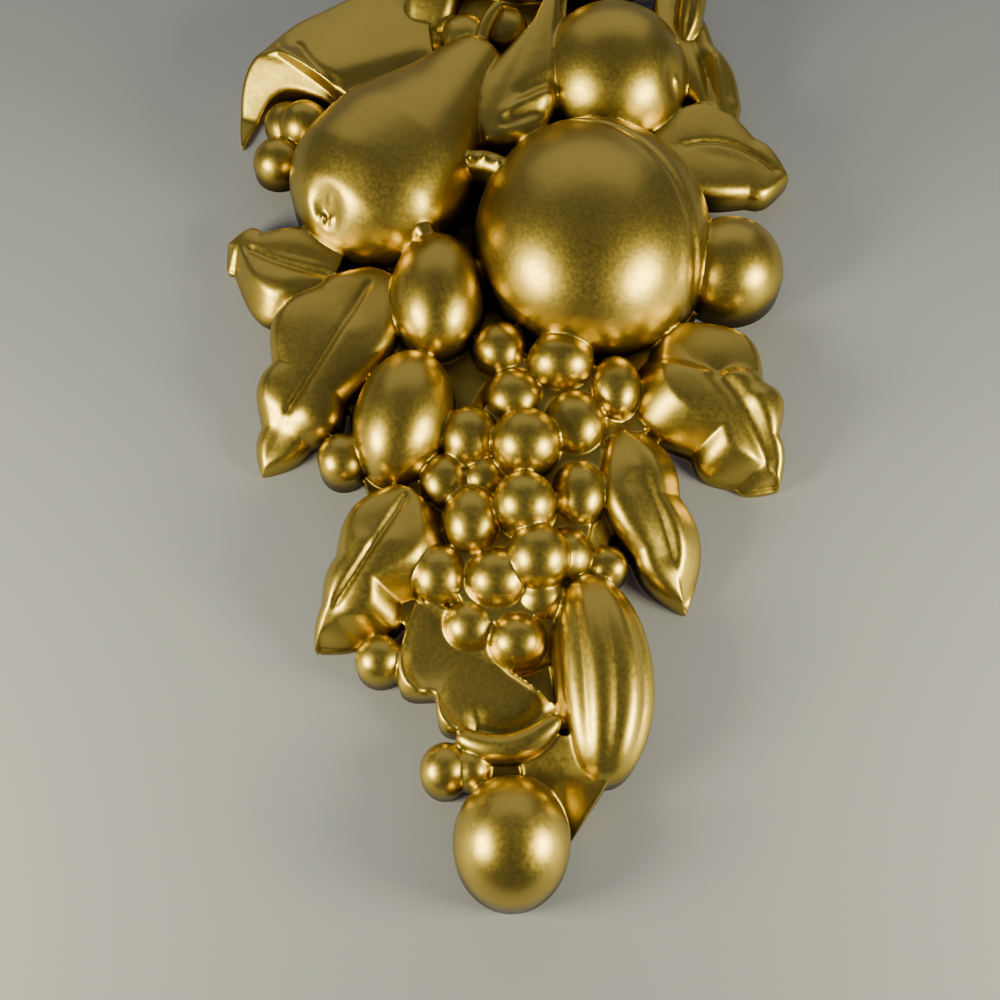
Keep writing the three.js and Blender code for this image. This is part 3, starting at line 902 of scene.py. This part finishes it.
def paint_material(settings):
    """Satin metallic gold: fine flake, uneven spraying, and darker colour in the creases and on steep
    flanks, partly paint that thins there and partly painted shade.
    """
    bench = NodeBench("gold_paint")
    gold = tuple(settings.gold)
    sprayed = bench.ranged(bench.noise(38, 3), 0.3, 0.7, 0, 1)
    colour = bench.blend(sprayed, shade(gold, 0.93), shade(gold, 1.06))
    depth = bench.add("Attribute", attribute_name="recess").outputs["Fac"]
    patchy = bench.math("ADD", depth, bench.ranged(bench.noise(210, 4, 0.6), 0.25, 0.75, -0.06, 0.06))
    # The depth at which each darker colour begins, the depth where it covers, and its colour: thin paint,
    # then undercoat, then near black, each of them also painted shade.
    deeper = [
        (0.2, 0.75, tuple(settings.shadow)),
        (0.65, 1.15, tuple(settings.recess)),
        (1.2, 1.5, shade(settings.recess, 0.15)),
    ]
    # Painted shade: creases and steep flanks are darkened in the base colour, together with the thinner
    # paint there.
    for begins, covers, paint in deeper:
        colour = bench.blend(bench.ranged(patchy, begins, covers, 0, 1), colour, paint)
    bench.join(colour, bench.shader.inputs["Base Color"])
    bench.shader.inputs["Metallic"].default_value = 1
    grain = bench.ranged(bench.noise(900, 1), 0.3, 0.7, -0.03, 0.04)
    bench.join(bench.math("ADD", grain, settings.roughness), bench.shader.inputs["Roughness"])
    orange_peel = bench.bump(bench.noise(300, 1), 0.25, 0.00025)
    bench.join(orange_peel, bench.shader.inputs["Normal"])
    return bench.material


def bare_material(settings):
    """Unpainted dark plastic with gold overspray, as moulded."""
    bench = NodeBench("bare_plastic")
    mist = bench.ranged(bench.noise(60, 4, 0.65), 0.52, 0.72, 0, 0.55)
    colour = bench.blend(mist, tuple(settings.bare), shade(tuple(settings.gold), 0.5))
    bench.join(colour, bench.shader.inputs["Base Color"])
    bench.join(bench.ranged(bench.noise(900, 2), 0.3, 0.7, 0.5, 0.68), bench.shader.inputs["Roughness"])
    bench.join(bench.bump(bench.noise(700, 3), 0.3, 0.0002), bench.shader.inputs["Normal"])
    return bench.material


# How the depth of the creases is measured, for the darker paint and painted shade there.
CELL = 0.6 * MM  # side of one cell of the grid
MARGIN = 30  # cells round the plaque
AROUND = 8  # cells to each side that count as a point's surroundings
FULL_DEPTH = 9 * MM  # how far below its surroundings a point is when its recess is 1


def blurred(field, radius):
    """A square field averaged over a soft disc of this many cells."""
    steps = np.arange(-3 * radius, 3 * radius + 1)
    weights = np.exp(-(steps / radius) ** 2)
    weights /= weights.sum()
    for axis in (0, 1):
        field = np.apply_along_axis(lambda line: np.convolve(line, weights, mode="same"), axis, field)
    return field


def height_around(points):
    """The mean height of the moulding round each point, on a grid of cells over the wall."""
    low, high = CAD_BOX
    columns, rows = (int((high[axis] - low[axis]) / CELL) + 2 * MARGIN for axis in (0, 2))
    column = np.clip(((points[:, 0] - low[0]) / CELL).astype(int) + MARGIN, 0, columns - 1)
    row = np.clip(((points[:, 2] - low[2]) / CELL).astype(int) + MARGIN, 0, rows - 1)
    tops = np.zeros((columns, rows))
    np.maximum.at(tops, (column, row), -points[:, 1])
    filled = (tops > 0).astype(float)
    wide = blurred(tops, AROUND) / np.maximum(blurred(filled, AROUND), 1e-3)
    return np.maximum(wide, 0)[column, row]


def mark_recesses(piece):
    """Stores how deep each point lies in a crease, for the darker colour there, which is partly thin paint
    and partly painted shade: how far it is below its surroundings, and a little more on a steep flank."""
    points = read_vectors(piece.data.vertices, "co")
    below = np.maximum((height_around(points) + points[:, 1]) / FULL_DEPTH, 0)
    facing = read_vectors(piece.data.vertex_normals, "vector")
    steep = np.clip((0.7 + facing[:, 1]) / 0.7, 0, 1)
    recess = piece.data.attributes.new("recess", "FLOAT", "POINT")
    recess.data.foreach_set("value", np.clip(below + 0.12 * steep, 0, 1.5).astype(np.float32))


class MESH_OT_swag_paint(bpy.types.Operator):
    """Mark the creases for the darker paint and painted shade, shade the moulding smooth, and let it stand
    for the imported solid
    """

    bl_idname = "mesh.swag_paint"
    bl_label = "Paint"

    def execute(self, context):
        moulding = context.scene.objects.get("swag")
        if moulding is None:
            raise RuntimeError("fuse and core the moulding first")
        mark_recesses(moulding)
        make_active(moulding)
        bpy.ops.object.shade_smooth_by_angle(angle=math.radians(50))
        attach(moulding, "root")
        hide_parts(NODE)
        return {"FINISHED"}


# ------------------------------------------------------------------ studio
SHEET = 6  # side of the wall and of the floor, in metres
DROP = 1.2  # how far the floor lies below the hanging point, in metres
WINDOWS = [("left_window", (-0.36, -0.2, -0.33)), ("right_window", (0.37, -0.17, -0.33))]
AIM = (-3.476, -10, -188)  # what the camera looks at, in millimetres


def wall_material(colour):
    """Pale matt wall, seen from its front only."""
    material = bpy.data.materials.new("pale_wall")
    material.use_nodes = True
    nodes, links = material.node_tree.nodes, material.node_tree.links
    shader = nodes["Principled BSDF"]
    shader.inputs["Base Color"].default_value = (*colour, 1)
    shader.inputs["Roughness"].default_value = 0.6
    clear = nodes.new("ShaderNodeBsdfTransparent")
    facing = nodes.new("ShaderNodeNewGeometry")
    either = nodes.new("ShaderNodeMixShader")
    links.new(facing.outputs["Backfacing"], either.inputs["Fac"])
    links.new(shader.outputs["BSDF"], either.inputs[1])
    links.new(clear.outputs["BSDF"], either.inputs[2])
    links.new(either.outputs["Shader"], nodes["Material Output"].inputs["Surface"])
    return material


def plain_sheet(name, size, location, rotation, material):
    deselect()
    bpy.ops.mesh.primitive_plane_add(size=size, location=location, rotation=rotation)
    sheet = bpy.context.object
    sheet.name = name
    sheet.data.materials.append(material)
    return sheet


def soft_light(name, location, aim, size, power, colour=(1, 1, 1)):
    light = bpy.data.lights.new(name, "AREA")
    light.shape = "RECTANGLE"
    light.size, light.size_y = size
    light.energy = power
    light.color = colour
    lamp = bpy.data.objects.new(name, light)
    bpy.context.scene.collection.objects.link(lamp)
    lamp.visible_camera = False
    lamp.location = location
    lamp.rotation_euler = (Vector(aim) - Vector(location)).to_track_quat("-Z", "Y").to_euler()
    return lamp


def light_from_behind(strength):
    """An even light straight from behind, for the bare back and not for the paint."""
    light = bpy.data.lights.new("behind", "SUN")
    light.energy = strength
    light.angle = math.radians(6)
    lamp = bpy.data.objects.new("behind", light)
    bpy.context.scene.collection.objects.link(lamp)
    lamp.visible_glossy = False
    lamp.rotation_euler = (-math.pi / 2, 0, 0)


def put_up_wall_and_floor(colour):
    """The wall is just behind the plaque's flat back. It lets the light from behind through."""
    material = wall_material(colour)
    wall = plain_sheet("wall", SHEET, (0, 0.4 * MM, 0), (math.pi / 2, 0, 0), material)
    wall.visible_shadow = False
    plain_sheet("floor", SHEET, (0, -SHEET / 4, -DROP), (0, 0, 0), material)


def hang_lights(studio):
    """Two warm windows low at the sides, a broad ceiling, and the light behind."""
    low, high = CAD_BOX
    middle = Vector(((low.x + high.x) / 2, 0, low.z * 0.5))
    for name, place in WINDOWS:
        soft_light(name, place, middle + Vector((0, 0, -0.03)), (0.15, 0.17),
                   studio.window_power, (1, 0.92, 0.44))
    soft_light("ceiling", middle + Vector((0, -0.9, 1.5)), middle + Vector((0, 0, 0.2)), (2.6, 1.5),
               studio.ceiling_power, (1, 0.98, 0.93))
    light_from_behind(studio.back_strength)


def place_camera(studio):
    """The camera looks up at a point on the grapes from below."""
    camera = bpy.data.cameras.new("camera")
    camera.lens, camera.sensor_width = studio.lens, 36
    camera.clip_start, camera.clip_end = 0.01, 50
    seat = bpy.data.objects.new("camera", camera)
    bpy.context.scene.collection.objects.link(seat)
    back = Vector((0, -math.cos(studio.tilt), -math.sin(studio.tilt)))
    seat.location = Vector(AIM) * MM + back * studio.distance
    seat.rotation_euler = (math.pi / 2 + studio.tilt, 0, 0)
    bpy.context.scene.camera = seat


class SCENE_OT_swag_studio(bpy.types.Operator):
    """Set up the wall, the floor, the soft lights and the camera"""

    bl_idname = "scene.swag_studio"
    bl_label = "Wall, Lights and Camera"

    def execute(self, context):
        studio = context.scene.swag_studio
        put_up_wall_and_floor(studio.wall)
        hang_lights(studio)
        world = bpy.data.worlds.new("surroundings")
        context.scene.world = world
        world.use_nodes = True
        background = world.node_tree.nodes["Background"]
        background.inputs["Color"].default_value = (0.84, 0.9, 1, 1)
        background.inputs["Strength"].default_value = studio.ambient
        place_camera(studio)
        return {"FINISHED"}


class VIEW3D_PT_swag(bpy.types.Panel):
    """The plaque's operators in the sidebar"""

    bl_idname = "VIEW3D_PT_swag"
    bl_label = "Fruit Swag Plaque"
    bl_space_type = "VIEW_3D"
    bl_region_type = "UI"
    bl_category = "Plaque"

    def draw(self, context):
        for operator in OPERATORS:
            self.layout.operator(operator.bl_idname)


SETTINGS = {
    "swag_mould": SwagMouldSettings,
    "swag_paint": SwagPaintSettings,
    "swag_studio": SwagStudioSettings,
}
OPERATORS = [
    MESH_OT_swag_fruit,
    MESH_OT_swag_berries,
    MESH_OT_swag_grapes,
    MESH_OT_swag_leaves,
    MESH_OT_swag_stalks,
    MESH_OT_swag_mould,
    MESH_OT_swag_core,
    MESH_OT_swag_paint,
    SCENE_OT_swag_studio,
]


def register():
    for kind in [*SETTINGS.values(), *OPERATORS, VIEW3D_PT_swag]:
        bpy.utils.register_class(kind)
    for name, kind in SETTINGS.items():
        setattr(bpy.types.Scene, name, bpy.props.PointerProperty(type=kind))


def unregister():
    for name in SETTINGS:
        delattr(bpy.types.Scene, name)
    for kind in reversed([*SETTINGS.values(), *OPERATORS, VIEW3D_PT_swag]):
        bpy.utils.unregister_class(kind)


def main():
    register()
    for operator in OPERATORS:
        group, name = operator.bl_idname.split(".")
        getattr(getattr(bpy.ops, group), name)()


if __name__ == "__main__":
    main()
